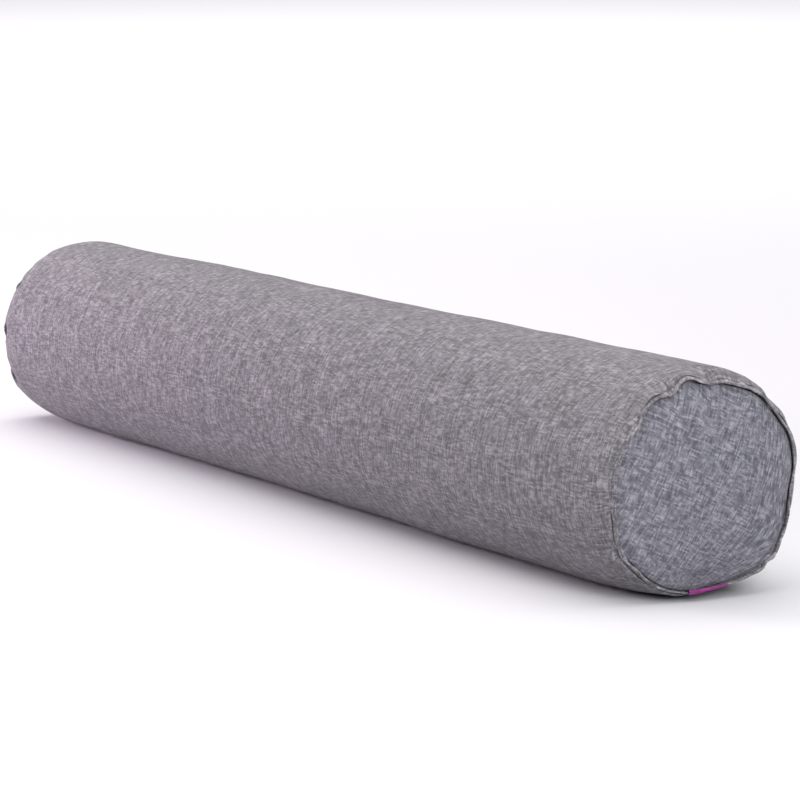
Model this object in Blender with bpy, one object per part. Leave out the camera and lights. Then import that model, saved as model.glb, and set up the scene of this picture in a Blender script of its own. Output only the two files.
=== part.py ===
"""A body pillow: a firm round bolster, 1.2 m between its end seams and 0.2 m across.

X runs along the bolster with the labelled end at +X, Z is up, and the origin is the middle of
its footprint. Directions round the bolster are in degrees from +Y, through +Z at 90.

Each piece is first made as a plain turned form round the X axis, as the cloth is cut. settle()
then gives it the shape of the filled pillow: the ends drawn in to their seams, the cloth
puckered beside them, and the underside spread where it lies.
"""
import math
from collections import namedtuple

import bmesh
import bpy
from mathutils import Vector

# Driving dimensions, in metres
TUBE_LENGTH = 1.200
TUBE_RADIUS = 0.100
AXIS_HEIGHT = 0.0905

CLOTH_THICKNESS = 0.0016
SEWN_GAP = 0.0004
TROUGH_GAP = 0.0008

RIDGE_WIDTH = 0.0046
RIDGE_HEIGHT = 0.0032
RIDGE_SIDES = 8
RIDGE_LIFT = 0.0006
SEAM_INSET = 0.0052

ROUND_STEPS = 96
MERGE_DISTANCE = 0.00001
CREASE_ANGLE = math.radians(40.0)

# The underside spreads from this height down, and gives way by this much at the middle
SPREAD_HEIGHT = 0.030
SPREAD_GIVE = 0.0070
SPREAD_CURVE = 3

# How steeply the drawn-in ends favour the underside, how square the panels' domes are, how fast
# a kink or fold fades towards the middle of an end, and where a pucker is deepest in its reach
UNDER_CURVE = 3
DOME_CURVE = 2.6
FADE_CURVE = 3
POCKET_PLACE = 1.0 / 7.0
POCKET_CURVE = 1.5

# The label: its ends round the seam, and its way out past the seam and up from it
LABEL_START = 260.5
LABEL_END = 287.5
LABEL_STEPS = 10
LABEL_THICKNESS = 0.0010
LABEL_TAPER = 0.70
LABEL_FALL = (
    (0.0007, -0.0009),
    (0.0022, -0.0007),
    (0.0033, 0.0005),
    (0.0036, 0.0024),
    (0.0035, 0.0046),
)

# Where the plain turned pieces meet, before the ends are drawn in
SEAM_RADIUS_CUT = TUBE_RADIUS - SEAM_INSET
PANEL_RADIUS = SEAM_RADIUS_CUT - SEWN_GAP / 2.0
RIDGE_CENTRE = SEAM_RADIUS_CUT + (SEWN_GAP + RIDGE_WIDTH) / 2.0

TUBE_GREY = (0.27, 0.25, 0.28, 1.0)
PANEL_GREY = (0.23, 0.22, 0.27, 1.0)
RIDGE_GREY = (0.31, 0.29, 0.33, 1.0)
LABEL_MAGENTA = (0.28, 0.04, 0.17, 1.0)
CLOTH_ROUGHNESS = 0.92
RIBBON_ROUGHNESS = 0.55

# Stations along the tube, behind the near seam and behind the far seam, the spacing between
# them, and stations across an end panel as shares of its radius
NEAR_STATIONS = (0.0004, 0.0025, 0.0055, 0.010, 0.016, 0.024, 0.038, 0.060, 0.090, 0.130)
FAR_STATIONS = (0.0004, 0.003, 0.007, 0.013, 0.021, 0.031, 0.045, 0.065, 0.100)
MIDDLE_SPACING = 0.110
PANEL_STATIONS = (1.0, 0.93, 0.78, 0.55, 0.28)

# A kink moves the seam itself; a pucker is a short fold in the tube's cloth beside the seam
Kink = namedtuple("Kink", "angle out fore half_width")
Pucker = namedtuple("Pucker", "angle pinch half_width reach")
Swell = namedtuple("Swell", "x angle out half_length half_width")
End = namedtuple(
    "End",
    "side seam_radius shift_y shift_z lean_y lean_z "
    "shoulder shoulder_under curl curl_under crown kinks puckers",
)

NEAR_END = End(
    side=1.0,
    seam_radius=0.0860,
    shift_y=-0.0022,
    shift_z=0.0016,
    lean_y=0.050,
    lean_z=0.040,
    shoulder=0.022,
    shoulder_under=0.120,
    curl=2.8,
    curl_under=2.0,
    crown=0.009,
    kinks=(
        Kink(angle=354, out=-0.0064, fore=0.0, half_width=24),
        Kink(angle=27, out=0.0022, fore=0.0, half_width=14),
        Kink(angle=58, out=0.0025, fore=0.0, half_width=17),
        Kink(angle=103, out=0.0084, fore=0.0, half_width=11),
        Kink(angle=124, out=0.0064, fore=0.0, half_width=13),
        Kink(angle=152, out=-0.0016, fore=0.0, half_width=12),
        Kink(angle=181, out=-0.0030, fore=0.0, half_width=28),
        Kink(angle=211, out=0.0026, fore=-0.0015, half_width=16),
        Kink(angle=280, out=-0.0038, fore=0.0, half_width=24),
        Kink(angle=315, out=0.0048, fore=0.0, half_width=17),
    ),
    puckers=(
        Pucker(angle=135, pinch=0.0016, half_width=7, reach=0.030),
        Pucker(angle=116, pinch=0.0026, half_width=9, reach=0.036),
        Pucker(angle=91, pinch=0.0020, half_width=8, reach=0.026),
        Pucker(angle=69, pinch=0.0014, half_width=7, reach=0.024),
        Pucker(angle=47, pinch=0.0026, half_width=7, reach=0.026),
        Pucker(angle=29, pinch=0.0016, half_width=6, reach=0.020),
        Pucker(angle=5, pinch=0.0016, half_width=8, reach=0.028),
        Pucker(angle=340, pinch=0.0018, half_width=8, reach=0.030),
        Pucker(angle=316, pinch=0.0034, half_width=8, reach=0.032),
        Pucker(angle=292, pinch=0.0020, half_width=8, reach=0.034),
        Pucker(angle=266, pinch=0.0024, half_width=9, reach=0.034),
        Pucker(angle=238, pinch=0.0016, half_width=8, reach=0.032),
        Pucker(angle=207, pinch=0.0038, half_width=9, reach=0.036),
        Pucker(angle=182, pinch=0.0010, half_width=8, reach=0.026),
        Pucker(angle=160, pinch=0.0014, half_width=7, reach=0.028),
    ),
)

FAR_END = End(
    side=-1.0,
    seam_radius=0.0815,
    shift_y=0.0,
    shift_z=0.0,
    lean_y=0.0,
    lean_z=0.0,
    shoulder=0.050,
    shoulder_under=0.080,
    curl=2.1,
    curl_under=2.0,
    crown=0.009,
    kinks=(
        Kink(angle=115, out=0.0030, fore=0.0, half_width=20),
        Kink(angle=157, out=-0.0036, fore=0.0, half_width=20),
        Kink(angle=182, out=-0.0034, fore=0.0, half_width=20),
        Kink(angle=220, out=0.0040, fore=0.0, half_width=18),
        Kink(angle=60, out=0.0020, fore=0.0, half_width=15),
        Kink(angle=330, out=0.0020, fore=0.0, half_width=16),
    ),
    puckers=(
        Pucker(angle=118, pinch=0.0020, half_width=8, reach=0.040),
        Pucker(angle=143, pinch=0.0030, half_width=8, reach=0.046),
        Pucker(angle=176, pinch=0.0044, half_width=9, reach=0.056),
        Pucker(angle=209, pinch=0.0034, half_width=8, reach=0.050),
        Pucker(angle=236, pinch=0.0024, half_width=9, reach=0.044),
        Pucker(angle=262, pinch=0.0020, half_width=9, reach=0.040),
        Pucker(angle=289, pinch=0.0026, half_width=9, reach=0.044),
        Pucker(angle=315, pinch=0.0020, half_width=8, reach=0.040),
        Pucker(angle=341, pinch=0.0030, half_width=9, reach=0.046),
        Pucker(angle=10, pinch=0.0022, half_width=8, reach=0.040),
        Pucker(angle=37, pinch=0.0030, half_width=9, reach=0.046),
        Pucker(angle=64, pinch=0.0020, half_width=8, reach=0.040),
        Pucker(angle=92, pinch=0.0026, half_width=9, reach=0.044),
    ),
)

ENDS = (NEAR_END, FAR_END)

# Slow swells and hollows along the filled tube
SWELLS = (
    Swell(x=0.36, angle=74, out=0.0016, half_length=0.34, half_width=70),
    Swell(x=0.54, angle=80, out=0.0018, half_length=0.12, half_width=60),
    Swell(x=-0.45, angle=80, out=-0.0012, half_length=0.16, half_width=70),
    Swell(x=0.30, angle=240, out=0.0016, half_length=0.20, half_width=60),
    Swell(x=-0.42, angle=240, out=0.0016, half_length=0.16, half_width=60),
    Swell(x=-0.05, angle=180, out=-0.0014, half_length=0.20, half_width=60),
    Swell(x=0.05, angle=350, out=-0.0012, half_length=0.24, half_width=60),
)


def bell(offset, half_width):
    """1 at the middle, easing to 0 at the half width and beyond."""
    return 0.5 + 0.5 * math.cos(math.pi * min(abs(offset) / half_width, 1.0))


def turn_between(angle, other):
    """The shorter turn between two directions, in degrees."""
    return abs((angle - other + 180.0) % 360.0 - 180.0)


def pocket(behind, reach):
    """How deep a pucker is at a distance behind the seam: none at the stitches, deepest just
    behind them, and gone at its reach."""
    deepest = reach * POCKET_PLACE
    if behind <= 0.0 or behind >= reach:
        return 0.0
    if behind < deepest:
        return bell(deepest - behind, deepest)
    return bell(behind - deepest, reach - deepest) ** POCKET_CURVE


def underness(angle):
    """0 over the top of the bolster, rising to 1 straight underneath."""
    return ((1.0 - math.sin(math.radians(angle))) / 2.0) ** UNDER_CURVE


def spread(height):
    """The height of a point once the underside has given way to the surface below it."""
    below = SPREAD_HEIGHT - height
    if below <= 0.0:
        return height
    deepest = SPREAD_HEIGHT + TUBE_RADIUS - AXIS_HEIGHT
    return height + SPREAD_GIVE * (below / deepest) ** SPREAD_CURVE


def grip(end, angle, behind):
    """How firmly an end's seam draws the cloth in: 1 at the seam, 0 from its shoulder on."""
    under = underness(angle)
    shoulder = end.shoulder + (end.shoulder_under - end.shoulder) * under
    curl = end.curl + (end.curl_under - end.curl) * under
    return min(max(1.0 - behind / shoulder, 0.0), 1.0) ** curl


def settle(point):
    """Where a point of the plain turned bolster lies on the filled one."""
    x, y, z = point
    radius = math.hypot(y, z)
    angle = math.degrees(math.atan2(z, y)) % 360.0
    share = radius / TUBE_RADIUS
    fade = share**FADE_CURVE
    out = 0.0
    moved = Vector((x, 0.0, AXIS_HEIGHT))
    for end in ENDS:
        behind = TUBE_LENGTH / 2.0 - end.side * x
        held = grip(end, angle, behind)
        out -= held * (SEAM_RADIUS_CUT - end.seam_radius) * share
        fore = end.lean_y * y + end.lean_z * z
        for kink in end.kinks:
            near = fade * bell(turn_between(angle, kink.angle), kink.half_width)
            out += held * kink.out * near
            fore += kink.fore * near
        for pucker in end.puckers:
            near = fade * bell(turn_between(angle, pucker.angle), pucker.half_width)
            out -= pucker.pinch * near * pocket(behind, pucker.reach)
        moved += held * Vector((end.side * fore, end.shift_y, end.shift_z))
    for swell in SWELLS:
        near = fade * bell(turn_between(angle, swell.angle), swell.half_width)
        out += swell.out * near * bell(x - swell.x, swell.half_length)
    scale = (radius + out) / radius if radius > 0.0 else 1.0
    moved += Vector((0.0, y * scale, z * scale))
    moved.z = spread(moved.z)
    return moved


def dome(end, share):
    """How far an end panel stands out past its seam, at a share of the way out to its rim."""
    return end.crown * (1.0 - share**DOME_CURVE)


def along(end, out):
    """The x of a point that lies this far out past an end's seam."""
    return end.side * (TUBE_LENGTH / 2.0 + out)


def end_face(end):
    """The tube's end: the trough that the seam ridge lies in, then under the end panel."""
    points = [(along(end, RIDGE_LIFT - RIDGE_HEIGHT / 2.0 - TROUGH_GAP), RIDGE_CENTRE)]
    for share in PANEL_STATIONS + (0.0,):
        out = dome(end, share) - CLOTH_THICKNESS - SEWN_GAP
        points.append((along(end, out), share * PANEL_RADIUS))
    return points


def tube_profile():
    """Half section of the filled tube, from the centre of the far end to that of the near end."""
    far_skin = [along(FAR_END, -behind) for behind in FAR_STATIONS]
    near_skin = [along(NEAR_END, -behind) for behind in reversed(NEAR_STATIONS)]
    middle = near_skin[0] - far_skin[-1]
    spans = round(middle / MIDDLE_SPACING)
    middle_skin = [far_skin[-1] + middle * i / spans for i in range(1, spans)]
    skin = [(x, TUBE_RADIUS) for x in far_skin + middle_skin + near_skin]
    return end_face(FAR_END)[::-1] + skin + end_face(NEAR_END)


def panel_profile(end):
    """Half section of an end panel, from its outer centre round its rim to its inner centre."""
    outer = []
    inner = []
    for share in PANEL_STATIONS + (0.0,):
        out = dome(end, share)
        outer.append((along(end, out), share * PANEL_RADIUS))
        inner.append((along(end, out - CLOTH_THICKNESS), share * PANEL_RADIUS))
    return outer[::-1] + inner


def ridge_profile(end):
    """Section of the seam ridge."""
    points = []
    for i in range(RIDGE_SIDES):
        turn = 2.0 * math.pi * (i + 0.5) / RIDGE_SIDES
        out = RIDGE_LIFT + RIDGE_HEIGHT / 2.0 * math.sin(turn)
        points.append((along(end, out), RIDGE_CENTRE + RIDGE_WIDTH / 2.0 * math.cos(turn)))
    return points


def label_profile():
    """Section of the label: out of the seam beside the panel, then over the seam ridge."""
    path = [Vector(step) for step in LABEL_FALL]
    upper = []
    lower = []
    for i, spot in enumerate(path):
        run = path[min(i + 1, len(path) - 1)] - path[max(i - 1, 0)]
        across = Vector((run.y, -run.x)).normalized() * LABEL_THICKNESS / 2.0
        upper.append(spot + across)
        lower.append(spot - across)
    outline = upper + lower[::-1]
    return [(along(NEAR_END, spot.x), SEAM_RADIUS_CUT + spot.y) for spot in outline]


def turned(profile, closed, start=0.0, end=360.0, steps=ROUND_STEPS):
    """A bmesh of a section turned round the X axis, from one direction to another."""
    bm = bmesh.new()
    first = Vector((0.0, math.cos(math.radians(start)), math.sin(math.radians(start))))
    verts = [bm.verts.new(Vector((x, 0.0, 0.0)) + first * r) for x, r in profile]
    edges = [bm.edges.new(pair) for pair in zip(verts, verts[1:])]
    if closed:
        edges.append(bm.edges.new((verts[-1], verts[0])))
    whole = end - start >= 360.0
    bmesh.ops.spin(
        bm,
        geom=verts + edges,
        cent=(0.0, 0.0, 0.0),
        axis=(1.0, 0.0, 0.0),
        angle=math.radians(end - start),
        steps=steps,
        use_merge=whole,
    )
    bmesh.ops.remove_doubles(bm, verts=bm.verts, dist=MERGE_DISTANCE)
    if not whole:
        bmesh.ops.holes_fill(bm, edges=bm.edges, sides=0)
    return bm


def taper_label(bm):
    """The label hangs further over the ridge at its first end than at its last."""
    for vert in bm.verts:
        radius = math.hypot(vert.co.y, vert.co.z)
        hang = radius - SEAM_RADIUS_CUT
        if hang > 0.0:
            angle = math.degrees(math.atan2(vert.co.z, vert.co.y)) % 360.0
            across = (angle - LABEL_START) / (LABEL_END - LABEL_START)
            scale = (SEAM_RADIUS_CUT + hang * (1.0 - LABEL_TAPER * across)) / radius
            vert.co.y *= scale
            vert.co.z *= scale


def lay_flat(bm):
    """The flat that the tube rests on: what would lie below the surface is cut off level."""
    cut = bmesh.ops.bisect_plane(
        bm,
        geom=bm.verts[:] + bm.edges[:] + bm.faces[:],
        dist=MERGE_DISTANCE,
        plane_co=(0.0, 0.0, 0.0),
        plane_no=(0.0, 0.0, -1.0),
        clear_outer=True,
    )
    rim = [item for item in cut["geom_cut"] if isinstance(item, bmesh.types.BMEdge)]
    bmesh.ops.edgeloop_fill(bm, edges=rim)


def cloth(name, colour, roughness):
    """A plain cloth material."""
    material = bpy.data.materials.new(name)
    material.use_nodes = True
    shader = material.node_tree.nodes["Principled BSDF"]
    shader.inputs["Base Color"].default_value = colour
    shader.inputs["Roughness"].default_value = roughness
    shader.inputs["Metallic"].default_value = 0.0
    return material


def add_piece(name, bm, colour, roughness=CLOTH_ROUGHNESS):
    """A settled piece as a named object with its own cloth."""
    bmesh.ops.recalc_face_normals(bm, faces=bm.faces)
    mesh = bpy.data.meshes.new(name)
    bm.to_mesh(mesh)
    bm.free()
    mesh.shade_smooth()
    mesh.set_sharp_from_angle(angle=CREASE_ANGLE)
    mesh.materials.append(cloth(name + "_cloth", colour, roughness))
    piece = bpy.data.objects.new(name, mesh)
    bpy.context.scene.collection.objects.link(piece)


def centre_footprint(bodies):
    """Shift every piece alike, so that the origin is the middle of the whole footprint."""
    corners = [vert.co for bm in bodies for vert in bm.verts]
    middle_x = (min(c.x for c in corners) + max(c.x for c in corners)) / 2.0
    middle_y = (min(c.y for c in corners) + max(c.y for c in corners)) / 2.0
    for bm in bodies:
        bmesh.ops.translate(bm, verts=bm.verts, vec=(-middle_x, -middle_y, 0.0))


for old in list(bpy.data.objects):
    bpy.data.objects.remove(old, do_unlink=True)

tube = turned(tube_profile(), closed=False)
panel_near = turned(panel_profile(NEAR_END), closed=False)
panel_far = turned(panel_profile(FAR_END), closed=False)
ridge_near = turned(ridge_profile(NEAR_END), closed=True)
ridge_far = turned(ridge_profile(FAR_END), closed=True)
label = turned(label_profile(), True, LABEL_START, LABEL_END, LABEL_STEPS)
taper_label(label)

bolster = [tube, panel_near, panel_far, ridge_near, ridge_far, label]
for piece in bolster:
    for vertex in piece.verts:
        vertex.co = settle(vertex.co)
lay_flat(tube)
centre_footprint(bolster)

add_piece("tube", tube, TUBE_GREY)
add_piece("end_panel_near", panel_near, PANEL_GREY)
add_piece("end_panel_far", panel_far, PANEL_GREY)
add_piece("seam_ridge_near", ridge_near, RIDGE_GREY)
add_piece("seam_ridge_far", ridge_far, RIDGE_GREY)
add_piece("side_label", label, LABEL_MAGENTA, RIBBON_ROUGHNESS)
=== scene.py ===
import math
from collections import namedtuple

import bmesh
import bpy
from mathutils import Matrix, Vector, noise


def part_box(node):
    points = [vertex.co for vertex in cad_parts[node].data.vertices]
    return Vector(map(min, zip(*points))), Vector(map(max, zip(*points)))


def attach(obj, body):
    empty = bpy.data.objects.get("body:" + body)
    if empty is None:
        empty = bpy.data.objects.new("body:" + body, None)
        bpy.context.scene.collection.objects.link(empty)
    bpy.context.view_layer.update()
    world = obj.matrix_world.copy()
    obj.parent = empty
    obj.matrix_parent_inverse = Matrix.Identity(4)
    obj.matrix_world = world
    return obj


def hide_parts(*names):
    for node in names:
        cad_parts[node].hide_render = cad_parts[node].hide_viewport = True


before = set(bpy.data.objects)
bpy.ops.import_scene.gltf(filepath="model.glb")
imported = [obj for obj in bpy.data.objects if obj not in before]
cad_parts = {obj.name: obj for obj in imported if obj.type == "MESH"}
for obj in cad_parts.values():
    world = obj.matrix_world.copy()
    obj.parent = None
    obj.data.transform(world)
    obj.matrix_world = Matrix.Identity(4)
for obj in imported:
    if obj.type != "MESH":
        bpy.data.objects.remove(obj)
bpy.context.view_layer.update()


# ---------------------------------------------------------------------------------------------
# The tube: one wide cloth of a heathered linen weave, closed along its length and filled firm.
# Its ends are gathered onto the two round panels, so it draws in there and puckers behind the
# stitches, and it gives way where it lies. Metres; directions in degrees from +Y, +Z at 90.
TUBE_LENGTH = 1.200
TUBE_RADIUS = 0.100
AXIS_HEIGHT = 0.0905
SEAM_INSET = 0.0052
SEWN_GAP = 0.0004
CLOTH_THICKNESS = 0.0016
SEAM_RADIUS_CUT = TUBE_RADIUS - SEAM_INSET
PANEL_RADIUS = SEAM_RADIUS_CUT - SEWN_GAP / 2.0

SPREAD_HEIGHT = 0.030
SPREAD_GIVE = 0.0070
SPREAD_CURVE = 3
UNDER_CURVE = 3
DOME_CURVE = 2.6
FADE_CURVE = 3
LONG_PLACE = 1.0 / 7.0
SHORT_PLACE = 0.32
POCKET_CURVE = 1.5

# A kink moves a seam itself; a pucker is a fold in the cloth behind it, a long one shallow and a
# short one a deep small pocket beside the stitches, by where in its reach it is deepest
Kink = namedtuple("Kink", "angle out fore half_width")
Pucker = namedtuple("Pucker", "angle pinch half_width reach place", defaults=(LONG_PLACE,))
Swell = namedtuple("Swell", "x angle out half_length half_width")
End = namedtuple(
    "End",
    "side seam_radius shift_y shift_z lean_y lean_z "
    "shoulder shoulder_under curl curl_under crown kinks puckers",
)

NEAR_END = End(
    side=1.0,
    seam_radius=0.0860,
    shift_y=-0.0022,
    shift_z=0.0016,
    lean_y=0.050,
    lean_z=0.040,
    shoulder=0.022,
    shoulder_under=0.120,
    curl=2.8,
    curl_under=2.0,
    crown=0.009,
    kinks=(
        Kink(angle=354, out=-0.0064, fore=0.0, half_width=24),
        Kink(angle=27, out=0.0022, fore=0.0, half_width=14),
        Kink(angle=58, out=0.0025, fore=0.0, half_width=17),
        Kink(angle=89, out=-0.0018, fore=-0.0010, half_width=4),
        Kink(angle=103, out=0.0084, fore=0.0, half_width=11),
        Kink(angle=113, out=-0.0012, fore=-0.0008, half_width=3.5),
        Kink(angle=124, out=0.0064, fore=0.0, half_width=13),
        Kink(angle=152, out=-0.0016, fore=0.0, half_width=12),
        Kink(angle=181, out=-0.0030, fore=0.0, half_width=28),
        Kink(angle=211, out=0.0026, fore=-0.0015, half_width=16),
        Kink(angle=208, out=-0.0022, fore=-0.0012, half_width=5),
        Kink(angle=280, out=-0.0038, fore=0.0, half_width=24),
        Kink(angle=315, out=0.0048, fore=0.0, half_width=17),
        Kink(angle=314, out=-0.0018, fore=-0.0010, half_width=4.5),
    ),
    puckers=(
        Pucker(angle=135, pinch=0.0016, half_width=7, reach=0.030),
        Pucker(angle=116, pinch=0.0026, half_width=9, reach=0.036),
        Pucker(angle=91, pinch=0.0020, half_width=8, reach=0.026),
        Pucker(angle=69, pinch=0.0014, half_width=7, reach=0.024),
        Pucker(angle=47, pinch=0.0026, half_width=7, reach=0.026),
        Pucker(angle=29, pinch=0.0016, half_width=6, reach=0.020),
        Pucker(angle=5, pinch=0.0016, half_width=8, reach=0.028),
        Pucker(angle=340, pinch=0.0018, half_width=8, reach=0.030),
        Pucker(angle=316, pinch=0.0034, half_width=8, reach=0.032),
        Pucker(angle=292, pinch=0.0020, half_width=8, reach=0.034),
        Pucker(angle=266, pinch=0.0024, half_width=9, reach=0.034),
        Pucker(angle=238, pinch=0.0016, half_width=8, reach=0.032),
        Pucker(angle=207, pinch=0.0038, half_width=9, reach=0.036),
        Pucker(angle=182, pinch=0.0010, half_width=8, reach=0.026),
        Pucker(angle=160, pinch=0.0014, half_width=7, reach=0.028),
        Pucker(angle=212, pinch=0.0110, half_width=4.5, reach=0.012, place=SHORT_PLACE),
        Pucker(angle=134, pinch=0.0022, half_width=4.5, reach=0.010, place=SHORT_PLACE),
        Pucker(angle=113, pinch=0.0085, half_width=4, reach=0.012, place=SHORT_PLACE),
        Pucker(angle=89, pinch=0.0070, half_width=4, reach=0.011, place=SHORT_PLACE),
        Pucker(angle=70, pinch=0.0022, half_width=4, reach=0.010, place=SHORT_PLACE),
        Pucker(angle=47, pinch=0.0070, half_width=4.5, reach=0.012, place=SHORT_PLACE),
        Pucker(angle=30, pinch=0.0026, half_width=4, reach=0.009, place=SHORT_PLACE),
        Pucker(angle=3, pinch=0.0030, half_width=4.5, reach=0.010, place=SHORT_PLACE),
        Pucker(angle=341, pinch=0.0034, half_width=4.5, reach=0.011, place=SHORT_PLACE),
        Pucker(angle=316, pinch=0.0100, half_width=4.5, reach=0.014, place=SHORT_PLACE),
        Pucker(angle=291, pinch=0.0028, half_width=4.5, reach=0.011, place=SHORT_PLACE),
        Pucker(angle=239, pinch=0.0030, half_width=4.5, reach=0.011, place=SHORT_PLACE),
        Pucker(angle=166, pinch=0.0018, half_width=4, reach=0.009, place=SHORT_PLACE),
    ),
)

FAR_END = End(
    side=-1.0,
    seam_radius=0.0815,
    shift_y=0.0,
    shift_z=0.0,
    lean_y=0.0,
    lean_z=0.0,
    shoulder=0.050,
    shoulder_under=0.080,
    curl=2.1,
    curl_under=2.0,
    crown=0.009,
    kinks=(
        Kink(angle=115, out=0.0030, fore=0.0, half_width=20),
        Kink(angle=157, out=-0.0036, fore=0.0, half_width=20),
        Kink(angle=182, out=-0.0034, fore=0.0, half_width=20),
        Kink(angle=220, out=0.0040, fore=0.0, half_width=18),
        Kink(angle=60, out=0.0020, fore=0.0, half_width=15),
        Kink(angle=330, out=0.0020, fore=0.0, half_width=16),
        Kink(angle=119, out=0.0014, fore=0.0, half_width=9),
        Kink(angle=144, out=0.0034, fore=0.0, half_width=9),
        Kink(angle=176, out=0.0046, fore=0.0, half_width=11),
        Kink(angle=210, out=0.0038, fore=0.0, half_width=10),
    ),
    puckers=(
        Pucker(angle=118, pinch=0.0020, half_width=8, reach=0.040),
        Pucker(angle=143, pinch=0.0030, half_width=8, reach=0.046),
        Pucker(angle=176, pinch=0.0044, half_width=9, reach=0.056),
        Pucker(angle=209, pinch=0.0034, half_width=8, reach=0.050),
        Pucker(angle=236, pinch=0.0024, half_width=9, reach=0.044),
        Pucker(angle=262, pinch=0.0020, half_width=9, reach=0.040),
        Pucker(angle=289, pinch=0.0026, half_width=9, reach=0.044),
        Pucker(angle=315, pinch=0.0020, half_width=8, reach=0.040),
        Pucker(angle=341, pinch=0.0030, half_width=9, reach=0.046),
        Pucker(angle=10, pinch=0.0022, half_width=8, reach=0.040),
        Pucker(angle=37, pinch=0.0030, half_width=9, reach=0.046),
        Pucker(angle=64, pinch=0.0020, half_width=8, reach=0.040),
        Pucker(angle=92, pinch=0.0026, half_width=9, reach=0.044),
        Pucker(angle=119, pinch=0.0050, half_width=5, reach=0.020, place=SHORT_PLACE),
        Pucker(angle=144, pinch=0.0080, half_width=6, reach=0.026, place=SHORT_PLACE),
        Pucker(angle=176, pinch=0.0098, half_width=7.5, reach=0.028, place=SHORT_PLACE),
        Pucker(angle=210, pinch=0.0080, half_width=6, reach=0.026, place=SHORT_PLACE),
        Pucker(angle=237, pinch=0.0050, half_width=5, reach=0.013, place=SHORT_PLACE),
        Pucker(angle=288, pinch=0.0056, half_width=5.5, reach=0.014, place=SHORT_PLACE),
        Pucker(angle=314, pinch=0.0044, half_width=5, reach=0.013, place=SHORT_PLACE),
        Pucker(angle=342, pinch=0.0066, half_width=5.5, reach=0.015, place=SHORT_PLACE),
        Pucker(angle=12, pinch=0.0048, half_width=5, reach=0.013, place=SHORT_PLACE),
        Pucker(angle=38, pinch=0.0062, half_width=5.5, reach=0.014, place=SHORT_PLACE),
        Pucker(angle=65, pinch=0.0046, half_width=5, reach=0.013, place=SHORT_PLACE),
        Pucker(angle=93, pinch=0.0056, half_width=5.5, reach=0.014, place=SHORT_PLACE),
    ),
)

ENDS = (NEAR_END, FAR_END)

SWELLS = (
    Swell(x=0.36, angle=74, out=0.0016, half_length=0.34, half_width=70),
    Swell(x=0.54, angle=80, out=0.0018, half_length=0.12, half_width=60),
    Swell(x=-0.45, angle=80, out=-0.0012, half_length=0.16, half_width=70),
    Swell(x=0.30, angle=240, out=0.0016, half_length=0.20, half_width=60),
    Swell(x=-0.42, angle=240, out=0.0016, half_length=0.16, half_width=60),
    Swell(x=-0.05, angle=180, out=-0.0014, half_length=0.20, half_width=60),
    Swell(x=0.05, angle=350, out=-0.0012, half_length=0.24, half_width=60),
)


def bell(offset, half_width):
    """1 at the middle, easing to 0 at the half width and beyond."""
    return 0.5 + 0.5 * math.cos(math.pi * min(abs(offset) / half_width, 1.0))


def turn_between(angle, other):
    """The shorter turn between two directions, in degrees."""
    return abs((angle - other + 180.0) % 360.0 - 180.0)


def pocket(behind, reach, place):
    """How deep a pucker is behind the seam: none at the stitches, deepest just behind them."""
    deepest = reach * place
    if behind <= 0.0 or behind >= reach:
        return 0.0
    if behind < deepest:
        return bell(deepest - behind, deepest)
    return bell(behind - deepest, reach - deepest) ** POCKET_CURVE


def underness(angle):
    """0 over the top of the bolster, rising to 1 straight underneath."""
    return ((1.0 - math.sin(math.radians(angle))) / 2.0) ** UNDER_CURVE


def spread(height):
    """The height of a point once the underside has given way to the surface below it."""
    below = SPREAD_HEIGHT - height
    if below <= 0.0:
        return height
    deepest = SPREAD_HEIGHT + TUBE_RADIUS - AXIS_HEIGHT
    return height + SPREAD_GIVE * (below / deepest) ** SPREAD_CURVE


def grip(end, angle, behind):
    """How firmly an end's seam draws the cloth in: 1 at the seam, 0 from its shoulder on."""
    under = underness(angle)
    shoulder = end.shoulder + (end.shoulder_under - end.shoulder) * under
    curl = end.curl + (end.curl_under - end.curl) * under
    return min(max(1.0 - behind / shoulder, 0.0), 1.0) ** curl


def settle(point, puckered):
    """Where a point of the plain turned bolster lies on the filled one. Only the tube's own cloth
    is puckered."""
    x, y, z = point
    radius = math.hypot(y, z)
    angle = math.degrees(math.atan2(z, y)) % 360.0
    share = radius / TUBE_RADIUS
    fade = share**FADE_CURVE
    out = 0.0
    moved = Vector((x, 0.0, AXIS_HEIGHT))
    for end in ENDS:
        behind = TUBE_LENGTH / 2.0 - end.side * x
        if behind > end.shoulder_under:
            continue
        held = grip(end, angle, behind)
        out -= held * (SEAM_RADIUS_CUT - end.seam_radius) * share
        fore = end.lean_y * y + end.lean_z * z
        for kink in end.kinks:
            near = fade * bell(turn_between(angle, kink.angle), kink.half_width)
            out += held * kink.out * near
            fore += kink.fore * near
        for pucker in end.puckers if puckered else ():
            near = fade * bell(turn_between(angle, pucker.angle), pucker.half_width)
            out -= pucker.pinch * near * pocket(behind, pucker.reach, pucker.place)
        moved += held * Vector((end.side * fore, end.shift_y, end.shift_z))
    for swell in SWELLS:
        near = fade * bell(turn_between(angle, swell.angle), swell.half_width)
        out += swell.out * near * bell(x - swell.x, swell.half_length)
    scale = (radius + out) / radius if radius > 0.0 else 1.0
    moved += Vector((0.0, y * scale, z * scale))
    moved.z = spread(moved.z)
    return moved


def dome(end, share):
    """How far an end panel stands out past its seam, at a share of the way out to its rim."""
    return end.crown * (1.0 - share**DOME_CURVE)


def along(end, out):
    """The x of a point that lies this far out past an end's seam."""
    return end.side * (TUBE_LENGTH / 2.0 + out)


MERGE_DISTANCE = 0.00001


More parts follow.
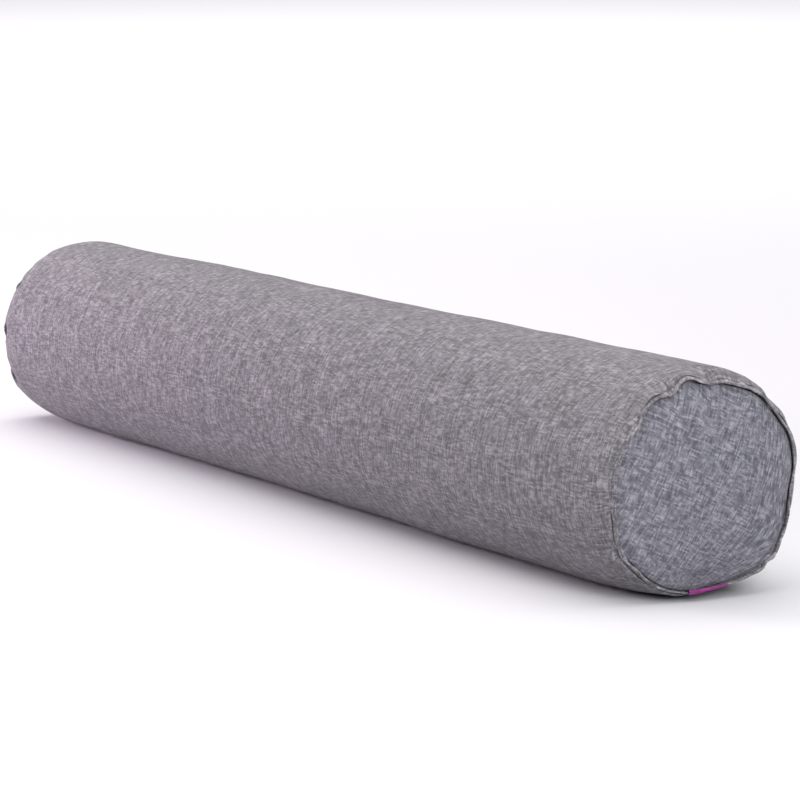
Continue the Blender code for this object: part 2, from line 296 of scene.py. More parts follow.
def turned(profile, closed, steps, start=0.0, end=360.0):
    """A bmesh of a section turned round the X axis, from one direction to another."""
    bm = bmesh.new()
    first = Vector((0.0, math.cos(math.radians(start)), math.sin(math.radians(start))))
    verts = [bm.verts.new(Vector((x, 0.0, 0.0)) + first * r) for x, r in profile]
    edges = [bm.edges.new(pair) for pair in zip(verts, verts[1:])]
    if closed:
        edges.append(bm.edges.new((verts[-1], verts[0])))
    whole = end - start >= 360.0
    bmesh.ops.spin(
        bm,
        geom=verts + edges,
        cent=(0.0, 0.0, 0.0),
        axis=(1.0, 0.0, 0.0),
        angle=math.radians(end - start),
        steps=steps,
        use_merge=whole,
    )
    bmesh.ops.remove_doubles(bm, verts=bm.verts, dist=MERGE_DISTANCE)
    if not whole:
        bmesh.ops.holes_fill(bm, edges=bm.edges, sides=0)
    bmesh.ops.recalc_face_normals(bm, faces=bm.faces)
    return bm


def unwound(values, whole):
    """Values that run round a ring, with those past its start lifted where a face spans it."""
    if max(values) - min(values) < whole / 2.0:
        return values
    return [value + whole if value < whole / 2.0 else value for value in values]


def lay_weave(bm, spot):
    """Mark each corner with its place on the flat cloth, in metres, before the cloth is shaped."""
    layer = bm.loops.layers.uv.new("weave")
    for face in bm.faces:
        for loop, place in zip(face.loops, spot([loop.vert.co for loop in face.loops])):
            loop[layer].uv = place


CLOSING_SEAM = 312.0


def tube_spot(corners):
    """Places on the tube's cloth: along the bolster, and round it from the closing seam."""
    turns = [(math.atan2(co.z, co.y) - math.radians(CLOSING_SEAM)) % math.tau for co in corners]
    turns = unwound(turns, math.tau)
    return [(co.x, TUBE_RADIUS * turn) for co, turn in zip(corners, turns)]


# Stations along the cloth: close together beside a seam, wider away from it. The edge is tucked
# down into the trough that the seam lies in.
NEAR_SPACING = 0.0015
SPACING_GROWTH = 1.15
MIDDLE_SPACING = 0.0125
EDGE_TUCK = 0.0016
TUCK_REACH = 0.0050
TROUGH_DEPTH = 0.0046
TROUGH_OUTER = 0.0983
TROUGH_INNER = 0.0930
END_SHARES = (0.95, 0.80, 0.55, 0.28, 0.0)
DENT_ROOM = 0.0075


def behind_seam():
    """Distances behind a seam: close together beside it, wider away from it."""
    places = [SEWN_GAP]
    spacing = NEAR_SPACING
    while spacing < MIDDLE_SPACING:
        places.append(places[-1] + spacing)
        spacing *= SPACING_GROWTH
    return places


def end_face(end):
    """The tube's end: the trough that the seam lies in, then the face under the end panel, far
    enough back to leave room for the panel's dents."""
    points = [(along(end, -TROUGH_DEPTH), TROUGH_OUTER), (along(end, -TROUGH_DEPTH), TROUGH_INNER)]
    for share in END_SHARES:
        out = dome(end, share) - CLOTH_THICKNESS - DENT_ROOM
        points.append((along(end, out), share * PANEL_RADIUS))
    return points


def tube_profile():
    """Half section of the filled tube, from the centre of the far end to that of the near end."""
    places = behind_seam()
    skin = [along(FAR_END, -behind) for behind in places]
    middle = -2.0 * skin[-1]
    spans = round(middle / MIDDLE_SPACING)
    skin += [skin[-1] + middle * i / spans for i in range(1, spans)]
    skin += [along(NEAR_END, -behind) for behind in reversed(places)]
    outer = []
    for x in skin:
        behind = TUBE_LENGTH / 2.0 - abs(x)
        outer.append((x, TUBE_RADIUS - EDGE_TUCK * bell(behind, TUCK_REACH)))
    return end_face(FAR_END)[::-1] + outer + end_face(NEAR_END)


LUMP_SIZE = 0.110
LUMP_RISE = 0.0011
DENT_SIZE = 0.042
DENT_RISE = 0.0005
GATHER_SIZE = 0.011
GATHER_DEPTH = 0.0013
GATHER_PLACE = 0.006
GATHER_REACH = 0.018
CLOSING_DEPTH = 0.0014
CLOSING_HALF_WIDTH = 2.4


def ring_point(co, size):
    """Where a point stands round the bolster, in steps of a size."""
    around = Vector((0.0, co.y, co.z)).normalized()
    return around * TUBE_RADIUS / size


def rumple(bm):
    """The filling's soft lumps, the small gathers beside the seams, and the closing seam."""
    for vert in bm.verts:
        co = vert.co
        share = math.hypot(co.y, co.z) / TUBE_RADIUS
        behind = TUBE_LENGTH / 2.0 - abs(co.x)
        if share < TROUGH_OUTER / TUBE_RADIUS or behind < NEAR_SPACING:
            continue
        along_x = Vector((co.x, 0.0, 0.0))
        out = LUMP_RISE * noise.noise(ring_point(co, LUMP_SIZE) + along_x / LUMP_SIZE)
        out += DENT_RISE * noise.noise(ring_point(co, DENT_SIZE) + along_x / DENT_SIZE)
        gather = noise.noise(ring_point(co, GATHER_SIZE) + along_x / GATHER_REACH)
        out += GATHER_DEPTH * gather * bell(behind - GATHER_PLACE, GATHER_REACH)
        turn = math.degrees(math.atan2(co.z, co.y))
        out -= CLOSING_DEPTH * bell(turn_between(turn, CLOSING_SEAM), CLOSING_HALF_WIDTH)
        vert.co += Vector((0.0, co.y, co.z)).normalized() * out


def shaped(bm, puckered=False):
    """Settle every point of a piece."""
    for vert in bm.verts:
        vert.co = settle(vert.co, puckered)


def as_piece(name, bm):
    """A shaped bmesh as a smooth object."""
    mesh = bpy.data.meshes.new(name)
    bm.to_mesh(mesh)
    bm.free()
    mesh.shade_smooth()
    piece = bpy.data.objects.new(name, mesh)
    bpy.context.scene.collection.objects.link(piece)
    return piece


def finer(piece):
    """Add one subdivision to a piece, and keep the result as its mesh."""
    rounding = piece.modifiers.new("rounding", "SUBSURF")
    rounding.levels = 1
    rounding.render_levels = 1
    rounding.uv_smooth = "NONE"
    keep_shape(piece)


def keep_shape(piece):
    """Apply what a piece's modifiers make of it."""
    graph = bpy.context.evaluated_depsgraph_get()
    mesh = bpy.data.meshes.new_from_object(piece.evaluated_get(graph))
    piece.modifiers.clear()
    old = piece.data
    piece.data = mesh
    mesh.name = piece.name
    bpy.data.meshes.remove(old)


TUBE_STEPS = 180

tube_bm = turned(tube_profile(), False, TUBE_STEPS, start=CLOSING_SEAM, end=CLOSING_SEAM + 360.0)
lay_weave(tube_bm, tube_spot)
rumple(tube_bm)
shaped(tube_bm, puckered=True)

# The footprint's middle is the origin, as in the solids. The far panel doesn't lean, so it
# reaches furthest at the middle of its face
cad_low, cad_high = (Vector(corner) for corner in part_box("tube"))
far_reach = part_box("end_panel_far")[0][0]
own_y = [vert.co.y for vert in tube_bm.verts]
CENTRING = Vector(
    (
        far_reach - along(FAR_END, FAR_END.crown),
        (cad_low.y + cad_high.y - min(own_y) - max(own_y)) / 2.0,
        0.0,
    )
)
bmesh.ops.translate(tube_bm, verts=tube_bm.verts, vec=CENTRING)

tube = as_piece("filled_tube", tube_bm)
finer(tube)
for vertex in tube.data.vertices:
    vertex.co.z = max(vertex.co.z, 0.0)


def linear(hex_code):
    """An sRGB hex colour as linear RGBA."""
    parts = [int(hex_code[i : i + 2], 16) / 255.0 for i in (1, 3, 5)]
    parts = [c / 12.92 if c <= 0.04045 else ((c + 0.055) / 1.055) ** 2.4 for c in parts]
    return (*parts, 1.0)


def add_node(material, kind, settings=None, values=None, links=None):
    """A node of a material, with its settings, its input values, and its inputs' sources."""
    node = material.node_tree.nodes.new("ShaderNode" + kind)
    for key, value in (settings or {}).items():
        setattr(node, key, value)
    for key, value in (values or {}).items():
        node.inputs[key].default_value = value
    for key, source in (links or {}).items():
        material.node_tree.links.new(source, node.inputs[key])
    return node


MILLIMETRE = 0.001
YARN_PITCH = 1.5 * MILLIMETRE
YARN_RELIEF = 0.36 * MILLIMETRE
YARN_STEP = 4.03
TONE_LENGTH = 11.0 * MILLIMETRE
TONE_SEED = 3.7
TONE_LOW = 0.28
TONE_HIGH = 0.72
ALONG_STEP = 0.1 * MILLIMETRE
CROSSING_EDGE = 0.42
TOP_SHARE = 0.66
GAP_SHADE_SHARE = 0.15
WANDER_SIZE = 26.0 * MILLIMETRE
WANDER = 3.0 * MILLIMETRE
DRAWN_SHARE = 0.5
MIDDLE_PLACE = 0.35
LIGHT_PLACE = 0.62


def new_material(name):
    """An empty material with its shader."""
    material = bpy.data.materials.new(name)
    material.use_nodes = True
    return material


# Heathered linen-look plain weave of spun polyester: dull and faintly fuzzy, each yarn its own
# grey, darker and lighter along its length, and passing over and under the yarns that cross it.
# Real yarns are about 1 mm apart; they are drawn at 1.5 mm, which is as fine as shows at this
# distance, and a little wavy, as the filling pushes them.
def linen(name, clouds, dark, middle, light, pale):
    material = new_material(name)
    tree = material.node_tree
    shader = tree.nodes["Principled BSDF"]

    place = add_node(material, "UVMap", {"uv_map": "weave"})
    drift = add_node(
        material,
        "TexNoise",
        {"noise_dimensions": "2D"},
        {"Scale": 1.0 / WANDER_SIZE, "Detail": 6.0, "Roughness": 0.65},
        {"Vector": place.outputs["UV"]},
    )
    centred = add_node(
        material,
        "VectorMath",
        {"operation": "SUBTRACT"},
        {1: (0.5, 0.5, 0.5)},
        {0: drift.outputs["Color"]},
    )
    wander = add_node(
        material,
        "VectorMath",
        {"operation": "MULTIPLY_ADD"},
        {1: (WANDER, WANDER, 0.0)},
        {0: centred.outputs["Vector"], 2: place.outputs["UV"]},
    )

    # The yarns along the cloth, then those across it, each with its own tones
    tones = []
    for cell, scale in (
        ((ALONG_STEP, YARN_PITCH), (1.0 / TONE_LENGTH, YARN_STEP / YARN_PITCH)),
        ((YARN_PITCH, ALONG_STEP), (YARN_STEP / YARN_PITCH, 1.0 / TONE_LENGTH)),
    ):
        yarn = add_node(
            material,
            "VectorMath",
            {"operation": "SNAP"},
            {1: cell + (1.0,)},
            {0: wander.outputs["Vector"]},
        )
        stretched = add_node(
            material,
            "VectorMath",
            {"operation": "MULTIPLY_ADD"},
            {1: scale + (0.0,), 2: (cell[0] / MILLIMETRE, TONE_SEED, 0.0)},
            {0: yarn.outputs["Vector"]},
        )
        streak = add_node(
            material,
            "TexNoise",
            {"noise_dimensions": "2D"},
            {"Scale": 1.0, "Detail": 2.0},
            {"Vector": stretched.outputs["Vector"]},
        )
        sharpened = add_node(
            material,
            "MapRange",
            {"interpolation_type": "SMOOTHSTEP"},
            {"From Min": TONE_LOW, "From Max": TONE_HIGH},
            {"Value": streak.outputs["Fac"]},
        )
        tones.append(sharpened.outputs["Result"])

    yarns = add_node(
        material,
        "VectorMath",
        {"operation": "SCALE"},
        {"Scale": math.pi / YARN_PITCH},
        {0: wander.outputs["Vector"]},
    )
    split = add_node(material, "SeparateXYZ", links={"Vector": yarns.outputs["Vector"]})
    waves = []
    for axis in ("X", "Y"):
        wave = add_node(material, "Math", {"operation": "SINE"}, links={0: split.outputs[axis]})
        waves.append(wave.outputs["Value"])
    crossing = add_node(
        material,
        "Math",
        {"operation": "MULTIPLY"},
        links={0: waves[0], 1: waves[1]},
    )
    on_top = add_node(
        material,
        "MapRange",
        values={
            "From Min": -CROSSING_EDGE,
            "From Max": CROSSING_EDGE,
            "To Min": 1.0 - TOP_SHARE,
            "To Max": TOP_SHARE,
        },
        links={"Value": crossing.outputs["Value"]},
    )
    raised = add_node(
        material,
        "Math",
        {"operation": "ABSOLUTE"},
        links={0: crossing.outputs["Value"]},
    )

    # Where a piece is marked as drawn tight, the yarns across it show more
    drawn = add_node(material, "Attribute", {"attribute_name": "drawn"})
    shown = add_node(
        material,
        "Math",
        {"operation": "MULTIPLY_ADD", "use_clamp": True},
        {1: DRAWN_SHARE},
        {0: drawn.outputs["Fac"], 2: on_top.outputs["Result"]},
    )
    woven = add_node(
        material,
        "Mix",
        {"data_type": "FLOAT"},
        links={"Factor": shown.outputs["Value"], "A": tones[0], "B": tones[1]},
    )
    # Between the yarns the tone is darker: partly the open gaps of the weave, partly painted shade
    # where the yarns shade each other.
    tone = add_node(
        material,
        "Mix",
        {"data_type": "FLOAT"},
        {"Factor": GAP_SHADE_SHARE},
        {"A": woven.outputs["Result"], "B": raised.outputs["Value"]},
    )

    # Wide faint clouds, where more of the dark or of the pale yarns came together
    clouded = add_node(
        material,
        "Math",
        {"operation": "MULTIPLY_ADD"},
        {1: clouds},
        {0: drift.outputs["Fac"], 2: tone.outputs["Result"]},
    )
    evened = add_node(
        material,
        "Math",
        {"operation": "SUBTRACT"},
        {1: clouds / 2.0},
        {0: clouded.outputs["Value"]},
    )
    colour = add_node(material, "ValToRGB", links={"Fac": evened.outputs["Value"]})
    ramp = colour.color_ramp
    ramp.elements[0].position = 0.0
    ramp.elements[0].color = linear(dark)
    ramp.elements[1].position = 1.0
    ramp.elements[1].color = linear(pale)
    for position, shade in ((MIDDLE_PLACE, middle), (LIGHT_PLACE, light)):
        ramp.elements.new(position).color = linear(shade)
    tree.links.new(colour.outputs["Color"], shader.inputs["Base Color"])

    bump = add_node(
        material,
        "Bump",
        values={"Strength": 0.5, "Distance": YARN_RELIEF},
        links={"Height": raised.outputs["Value"]},
    )
    tree.links.new(bump.outputs["Normal"], shader.inputs["Normal"])
    shader.inputs["Roughness"].default_value = 0.9
    shader.inputs["Specular IOR Level"].default_value = 0.25
    shader.inputs["Sheen Weight"].default_value = 0.1
    shader.inputs["Sheen Roughness"].default_value = 0.5
    return material


tube_linen = linen("tube_linen", 0.35, "#464347", "#5f5d61", "#747176", "#949196")
tube.data.materials.clear()
tube.data.materials.append(tube_linen)
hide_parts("tube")
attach(tube, "root")


# ---------------------------------------------------------------------------------------------
# The end panels: a round of the same cloth at each end, its grain turned as it was laid in.
# Each is sewn in all round its rim and pushed out a little by the filling.
PANEL_STEPS = 160
PANEL_RINGS = 28
RING_CURVE = 0.7
RIM_RADIUS = PANEL_RADIUS - 0.0008
RIM_TUCK = 0.0024
RIM_TUCK_REACH = 0.0055
UNDER_SHARES = (0.992, 0.96, 0.8, 0.5, 0.0)

PANEL_GRAIN = math.radians(-24.5)
RIM_CROWDING = -0.10
GRAIN_BEND_ABOVE = 1.0
GRAIN_BEND_BELOW = 2.4
DRAWN_ANGLE = 345.0
DRAWN_HALF_WIDTH = 85.0
DRAWN_REACH = 0.052

PANEL_LUMP_SIZE = 0.045
PANEL_LUMP_RISE = 0.0018
RIM_GATHER_SIZE = 0.010
RIM_GATHER_RISE = 0.0013
RIM_GATHER_REACH = 0.020

# Where the filling doesn't reach, and where the stitches pull a fold into the panel's cloth
Dent = namedtuple("Dent", "angle share depth half_round half_out")
PANEL_DENTS = (
    Dent(angle=266, share=0.89, depth=0.0070, half_round=0.015, half_out=0.014),
    Dent(angle=284, share=0.92, depth=0.0018, half_round=0.014, half_out=0.014),
    Dent(angle=207, share=0.90, depth=0.0014, half_round=0.0100, half_out=0.022),
    Dent(angle=113, share=0.90, depth=0.0016, half_round=0.0080, half_out=0.022),
    Dent(angle=89, share=0.90, depth=0.0014, half_round=0.0080, half_out=0.022),
    Dent(angle=47, share=0.90, depth=0.0010, half_round=0.0100, half_out=0.022),
    Dent(angle=316, share=0.90, depth=0.0016, half_round=0.0100, half_out=0.022),
    Dent(angle=345, share=0.88, depth=0.0012, half_round=0.020, half_out=0.016),
)


def panel_out(end, share):
    """How far a panel's face stands out, with its rim pulled down into the stitches."""
    rim = (1.0 - share) * RIM_RADIUS
    return dome(end, share) - RIM_TUCK * bell(rim, RIM_TUCK_REACH)


def panel_profile(end):
    """Half section of an end panel, from its outer centre round its rim to its inner centre."""
    outer = []
    for ring in range(PANEL_RINGS + 1):
        share = (ring / PANEL_RINGS) ** RING_CURVE
        outer.append((along(end, panel_out(end, share)), share * RIM_RADIUS))
    inner = []
    for share in UNDER_SHARES:
        out = panel_out(end, share) - CLOTH_THICKNESS
        inner.append((along(end, out), share * RIM_RADIUS))
    return outer + inner


def dent_panel(bm, end):
    """Lumps of the filling, dents and folds, and small gathers round the rim of a panel."""
    for vert in bm.verts:
        co = vert.co
        radius = math.hypot(co.y, co.z)
        angle = math.degrees(math.atan2(co.z, co.y)) % 360.0
        across = Vector((end.side, co.y, co.z))
        out = PANEL_LUMP_RISE * noise.noise(across / PANEL_LUMP_SIZE)
        gather = noise.noise(ring_point(co, RIM_GATHER_SIZE) + Vector((end.side, 0.0, 0.0)))
        out += RIM_GATHER_RISE * gather * bell(RIM_RADIUS - radius, RIM_GATHER_REACH)
        for dent in PANEL_DENTS:
            round_it = math.radians(turn_between(angle, dent.angle)) * radius
            outwards = radius - dent.share * RIM_RADIUS
            out -= dent.depth * bell(round_it, dent.half_round) * bell(outwards, dent.half_out)
        vert.co.x += end.side * out


def panel_spot(corners):
    """Places on a panel's cloth. Its grain is turned, and it crowds and bends along the rim on
    the side that it points to, most of all down towards the label."""
    places = []
    for co in corners:
        across = co.y * math.cos(PANEL_GRAIN) + co.z * math.sin(PANEL_GRAIN)
        up = co.z * math.cos(PANEL_GRAIN) - co.y * math.sin(PANEL_GRAIN)
        outer = max(across / RIM_RADIUS, 0.0)
        bend = GRAIN_BEND_ABOVE if up > 0.0 else GRAIN_BEND_BELOW
        bent = across * (1.0 + RIM_CROWDING * outer**2)
        bent += bend * outer * up**2 / (2.0 * RIM_RADIUS)
        places.append((bent, up))
    return places


def mark_drawn(bm):
    """Mark how tight a panel's cloth is drawn, most along the rim where its grain points."""
    layer = bm.verts.layers.float.new("drawn")
    for vert in bm.verts:
        angle = math.degrees(math.atan2(vert.co.z, vert.co.y)) % 360.0
        rim = RIM_RADIUS - math.hypot(vert.co.y, vert.co.z)
        side = bell(turn_between(angle, DRAWN_ANGLE), DRAWN_HALF_WIDTH)
        vert[layer] = side * bell(rim, DRAWN_REACH)


# The panels' linen is the tube's cloth tinted bluer: painted cool shade on the ends' faces, which
# stand side-on to the overhead light.
panel_linen_painted_cool_shade = linen("panel_linen_painted_cool_shade", 0.05, "#424149", "#5f5e66", "#727179", "#95939c")
for name, node, end in (
    ("near_panel", "end_panel_near", NEAR_END),
    ("far_panel", "end_panel_far", FAR_END),
):
    panel_bm = turned(panel_profile(end), False, PANEL_STEPS)
    lay_weave(panel_bm, panel_spot)
    mark_drawn(panel_bm)
    dent_panel(panel_bm, end)
    shaped(panel_bm)
    bmesh.ops.translate(panel_bm, verts=panel_bm.verts, vec=CENTRING)
    panel = as_piece(name, panel_bm)
    finer(panel)
    panel.data.materials.clear()
    panel.data.materials.append(panel_linen_painted_cool_shade)
    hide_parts(node)
    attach(panel, "root")


# ---------------------------------------------------------------------------------------------
# The seam ridges: the turned-in seam allowance of each end, sewn down as a narrow raised roll
# between the tube and the panel. Its cloth is painted lighter than the tube's and the panel's all
# over: a painted highlight for the light that the raised roll catches.
RIDGE_STEPS = 576
RIDGE_SIDES = 12
RIDGE_CENTRE = 0.0963
RIDGE_WIDTH = 0.0023
RIDGE_HEIGHT = 0.0054
RIDGE_LIFT = -0.0007
RIDGE_SQUARENESS = 0.8
STRAY_SIZE = 0.016
STRAY = 0.0008
SWELL_SIZE = 0.009
SWELL_SHARE = 0.6
STITCHES = 170
STITCH_DEPTH = 0.0003

# Where the near ridge is pushed out over the tube's edge or in towards the panel, or lies deeper
Lean = namedtuple("Lean", "angle out lift half_width")
NEAR_LEANS = (
    Lean(angle=75, out=0.0009, lift=0.0, half_width=75),
    Lean(angle=184, out=-0.0008, lift=0.0, half_width=45),
    Lean(angle=213, out=-0.0012, lift=0.0, half_width=7),
    Lean(angle=247, out=0.0, lift=-0.0013, half_width=20),
)


def ridge_profile(end):
    """Section of the seam ridge."""
    points = []
    for i in range(RIDGE_SIDES):
        turn = math.tau * (i + 0.5) / RIDGE_SIDES
        rise = math.copysign(abs(math.sin(turn)) ** RIDGE_SQUARENESS, math.sin(turn))
        side = math.copysign(abs(math.cos(turn)) ** RIDGE_SQUARENESS, math.cos(turn))
        out = RIDGE_LIFT + RIDGE_HEIGHT / 2.0 * rise
        points.append((along(end, out), RIDGE_CENTRE + RIDGE_WIDTH / 2.0 * side))
    return points


def uneven(bm, end):
    """The ridge strays from its line, swells and thins, and dips at each stitch."""
    for vert in bm.verts:
        co = vert.co
        radius = math.hypot(co.y, co.z)
        seed = Vector((end.side, 0.0, 0.0))
        stray = STRAY * noise.noise(ring_point(co, STRAY_SIZE) + seed)
        lift = STRAY * noise.noise(ring_point(co, STRAY_SIZE) - seed)
        swell = 1.0 + SWELL_SHARE * noise.noise(ring_point(co, SWELL_SIZE) + seed)
        turn = math.atan2(co.z, co.y)
        lift -= STITCH_DEPTH * (1.0 + math.cos(STITCHES * turn)) / 2.0
        for lean in NEAR_LEANS if end is NEAR_END else ():
            near = bell(turn_between(math.degrees(turn), lean.angle), lean.half_width)
            stray += lean.out * near
            lift += lean.lift * near
        wanted = RIDGE_CENTRE + stray + (radius - RIDGE_CENTRE) * swell
        vert.co = Vector((co.x + end.side * lift, co.y * wanted / radius, co.z * wanted / radius))


def ridge_spot(corners):
    """Places on the ridge's cloth, along the seam and over the roll."""
    turns = unwound([math.atan2(co.z, co.y) % math.tau for co in corners], math.tau)
    over = []
    for co in corners:
        radius = math.hypot(co.y, co.z)
        lift = abs(co.x) - TUBE_LENGTH / 2.0 - RIDGE_LIFT
        over.append(math.atan2(lift, radius - RIDGE_CENTRE) % math.tau)
    over = unwound(over, math.tau)
    return [(RIDGE_CENTRE * turn, RIDGE_WIDTH / 2.0 * roll) for turn, roll in zip(turns, over)]


# The ridge's linen is the tube's cloth painted lighter all over: a painted highlight for the light
# that the raised roll catches.
ridge_linen_painted_highlight = linen("ridge_linen_painted_highlight", 0.1, "#434046", "#656267", "#7e7b7f", "#a6a3a8")
for name, node, end in (
    ("near_seam", "seam_ridge_near", NEAR_END),
    ("far_seam", "seam_ridge_far", FAR_END),
):
    ridge_bm = turned(ridge_profile(end), True, RIDGE_STEPS)
    lay_weave(ridge_bm, ridge_spot)
    uneven(ridge_bm, end)
    shaped(ridge_bm)
    bmesh.ops.translate(ridge_bm, verts=ridge_bm.verts, vec=CENTRING)
    ridge = as_piece(name, ridge_bm)
    ridge.data.materials.append(ridge_linen_painted_highlight)
    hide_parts(node)
    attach(ridge, "root")


# ---------------------------------------------------------------------------------------------
# The label: a short bare tab of magenta ribbon, folded double, its cut ends caught in the near
# seam low on the panel. It comes out beside the panel and hangs over the ridge, further at its
# one end than at the other.
LABEL_START = 260.5
LABEL_END = 285.5
LABEL_STEPS = 40
LABEL_TAPER = 0.60
LABEL_FALL = (
    (-0.0020, -0.0004),
    (0.0000, -0.0012),
    (0.0014, -0.0024),
    (0.0026, -0.0032),
    (0.0036, -0.0030),
    (0.0041, -0.0018),
    (0.0042, -0.0002),
    (0.0040, 0.0014),
    (0.0036, 0.0026),
)
RIBBON_THICKNESS = 0.00035
RIBBON_GAP = 0.00020
FOLD_POINTS = 3


def offset_path(path, shift):
    """A path moved sideways from itself by this much."""
    moved = []
    for i, spot in enumerate(path):
        run = path[min(i + 1, len(path) - 1)] - path[max(i - 1, 0)]
        moved.append(spot + Vector((run.y, -run.x)).normalized() * shift)
    return moved


def label_profile():
    """Section of the label: the ribbon goes out over the seam ridge, folds, and comes back."""
    path = [Vector(step) for step in LABEL_FALL]
    half = (RIBBON_THICKNESS + RIBBON_GAP) / 2.0
    tip = (path[-1] - path[-2]).normalized()
    side = Vector((tip.y, -tip.x))
    ribbon = offset_path(path, half)
    for i in range(1, FOLD_POINTS + 1):
        turn = math.pi * i / (FOLD_POINTS + 1)
        ribbon.append(path[-1] + half * (math.cos(turn) * side + math.sin(turn) * tip))
    ribbon += offset_path(path, -half)[::-1]
    outer = offset_path(ribbon, RIBBON_THICKNESS / 2.0)
    inner = offset_path(ribbon, -RIBBON_THICKNESS / 2.0)
    outline = outer + inner[::-1]
    return [(along(NEAR_END, spot.x), SEAM_RADIUS_CUT + spot.y) for spot in outline]


def taper_label(bm):
    """The label's hump and its hang are both larger at its first end than at its last."""
    for vert in bm.verts:
        radius = math.hypot(vert.co.y, vert.co.z)
        angle = math.degrees(math.atan2(vert.co.z, vert.co.y)) % 360.0
        across = (angle - LABEL_START) / (LABEL_END - LABEL_START)
        hang = (radius - SEAM_RADIUS_CUT) * (1.0 - LABEL_TAPER * across)
        scale = (SEAM_RADIUS_CUT + hang) / radius
        vert.co.y *= scale
        vert.co.z *= scale


def label_spot(corners):
    """Places on the ribbon, along the seam and out from it."""
    return [
        (SEAM_RADIUS_CUT * (math.atan2(co.z, co.y) % math.tau), math.hypot(co.y, co.z))
        for co in corners
    ]


# Woven satin ribbon of bright polyester: smoother than the linen, with a soft gloss across its
# fine ribs. The real ribs are about 0.3 mm apart; they are drawn at 0.9 mm, to show.
RIB_PITCH = 0.9 * MILLIMETRE
RIB_RELIEF = 0.08 * MILLIMETRE
RIBBON_WEAR_SIZE = 6.0 * MILLIMETRE
BAND_REPEAT = 0.314


def satin(name, shade, colour):
    material = new_material(name)
    tree = material.node_tree
    shader = tree.nodes["Principled BSDF"]
    place = add_node(material, "UVMap", {"uv_map": "weave"})
    ribs = add_node(
        material,
        "TexWave",
        {"wave_type": "BANDS", "bands_direction": "X", "wave_profile": "SIN"},
        {"Scale": BAND_REPEAT / RIB_PITCH, "Distortion": 0.6, "Detail": 1.0, "Detail Scale": 1.0},
        {"Vector": place.outputs["UV"]},
    )
    wear = add_node(
        material,
        "TexNoise",
        {"noise_dimensions": "2D"},
        {"Scale": 1.0 / RIBBON_WEAR_SIZE, "Detail": 2.0},
        {"Vector": place.outputs["UV"]},
    )
    tone = add_node(
        material,
        "Mix",
        {"data_type": "FLOAT"},
        {"Factor": 0.6},
        {"A": ribs.outputs["Fac"], "B": wear.outputs["Fac"]},
    )
    colours = add_node(material, "ValToRGB", links={"Fac": tone.outputs["Result"]})
    colours.color_ramp.elements[0].position = 0.25
    colours.color_ramp.elements[0].color = linear(shade)
    colours.color_ramp.elements[1].position = 0.70
    colours.color_ramp.elements[1].color = linear(colour)
    tree.links.new(colours.outputs["Color"], shader.inputs["Base Color"])
    bump = add_node(
        material,
        "Bump",
        values={"Strength": 0.6, "Distance": RIB_RELIEF},
        links={"Height": ribs.outputs["Fac"]},
    )
    tree.links.new(bump.outputs["Normal"], shader.inputs["Normal"])
    shader.inputs["Roughness"].default_value = 0.42
    return material


label_bm = turned(label_profile(), True, LABEL_STEPS, LABEL_START, LABEL_END)
lay_weave(label_bm, label_spot)
taper_label(label_bm)
shaped(label_bm)
bmesh.ops.translate(label_bm, verts=label_bm.verts, vec=CENTRING)
label = as_piece("seam_label", label_bm)
label.data.materials.append(satin("label_satin", "#541447", "#8c2c7a"))
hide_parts("side_label")
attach(label, "root")


# ---------------------------------------------------------------------------------------------
# The studio: a plain white floor, a wide soft light overhead, weaker ones before each end and
# over the floor behind, and the camera at the photograph's angle.
FLOOR_SIZE = 60.0

floor_bm = bmesh.new()
bmesh.ops.create_grid(floor_bm, x_segments=1, y_segments=1, size=FLOOR_SIZE / 2.0)
floor = as_piece("studio_floor", floor_bm)
floor_paint = new_material("white_floor")
floor_shader = floor_paint.node_tree.nodes["Principled BSDF"]
floor_shader.inputs["Base Color"].default_value = linear("#cdcdd0")
floor_shader.inputs["Roughness"].default_value = 0.9
floor_shader.inputs["Specular IOR Level"].default_value = 0.1
floor.data.materials.append(floor_paint)

# One very wide overhead light, as of a studio ceiling
OVERHEAD_FROM = Vector((-0.05, 0.04, 1.0))
OVERHEAD_SPREAD = math.radians(95.0)
OVERHEAD_STRENGTH = 3.72

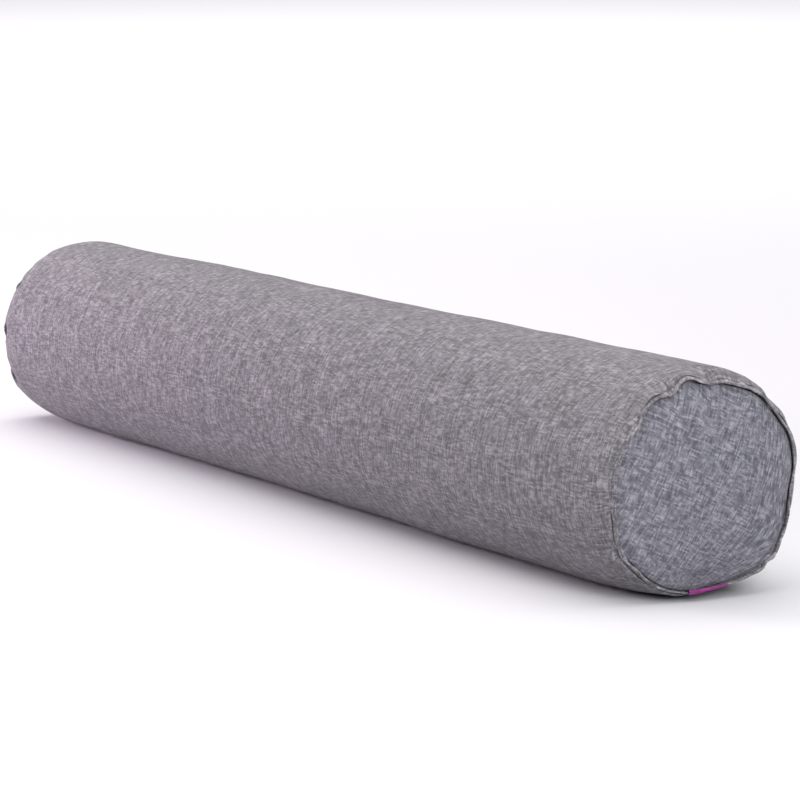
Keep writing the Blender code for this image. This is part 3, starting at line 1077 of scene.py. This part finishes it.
overhead_data = bpy.data.lights.new("studio_ceiling", "SUN")
overhead_data.angle = OVERHEAD_SPREAD
overhead_data.energy = OVERHEAD_STRENGTH
overhead_data.color = linear("#fffcfc")[:3]
overhead = bpy.data.objects.new("studio_ceiling", overhead_data)
overhead.rotation_euler = OVERHEAD_FROM.to_track_quat("Z", "Y").to_euler()
bpy.context.scene.collection.objects.link(overhead)

# A weak soft light before each end, the far one pinkish, and a wide one over the floor behind
Lamp = namedtuple("Lamp", "name place aim size power tint")
LAMPS = (
    Lamp("far_end_fill", (-1.5, -1.5, 0.7), (-0.6, 0.0, 0.1), 1.0, 47.0, "#ffeffe"),
    Lamp("near_end_fill", (2.3, -0.4, 0.8), (0.6, 0.0, 0.1), 1.0, 34.0, "#fbfeff"),
    Lamp("backdrop_light", (-5.5, 3.3, 3.5), (-5.5, 3.3, 0.0), 7.0, 180.0, "#ffffff"),
)
for lamp in LAMPS:
    lamp_data = bpy.data.lights.new(lamp.name, "AREA")
    lamp_data.shape = "DISK"
    lamp_data.size = lamp.size
    lamp_data.energy = lamp.power
    lamp_data.color = linear(lamp.tint)[:3]
    light = bpy.data.objects.new(lamp.name, lamp_data)
    light.location = lamp.place
    light.rotation_euler = (light.location - Vector(lamp.aim)).to_track_quat("Z", "Y").to_euler()
    bpy.context.scene.collection.objects.link(light)

world = bpy.data.worlds.new("studio_air")
world.use_nodes = True
world.node_tree.nodes["Background"].inputs["Color"].default_value = linear("#f6f7fb")
world.node_tree.nodes["Background"].inputs["Strength"].default_value = 0.01
bpy.context.scene.world = world
bpy.context.scene.view_settings.view_transform = "Standard"

CAMERA_PLACE = Vector((3.1651, -1.7721, 0.6261))
CAMERA_AZIMUTH = math.radians(59.98)
CAMERA_ELEVATION = math.radians(8.41)
CAMERA_LENS = 173.8

camera_data = bpy.data.cameras.new("camera")
camera_data.sensor_width = 36.0
camera_data.lens = CAMERA_LENS
camera_data.clip_end = 100.0
camera = bpy.data.objects.new("camera", camera_data)
camera.location = CAMERA_PLACE
camera.rotation_euler = (math.pi / 2.0 - CAMERA_ELEVATION, 0.0, CAMERA_AZIMUTH)
bpy.context.scene.collection.objects.link(camera)
bpy.context.scene.camera = camera
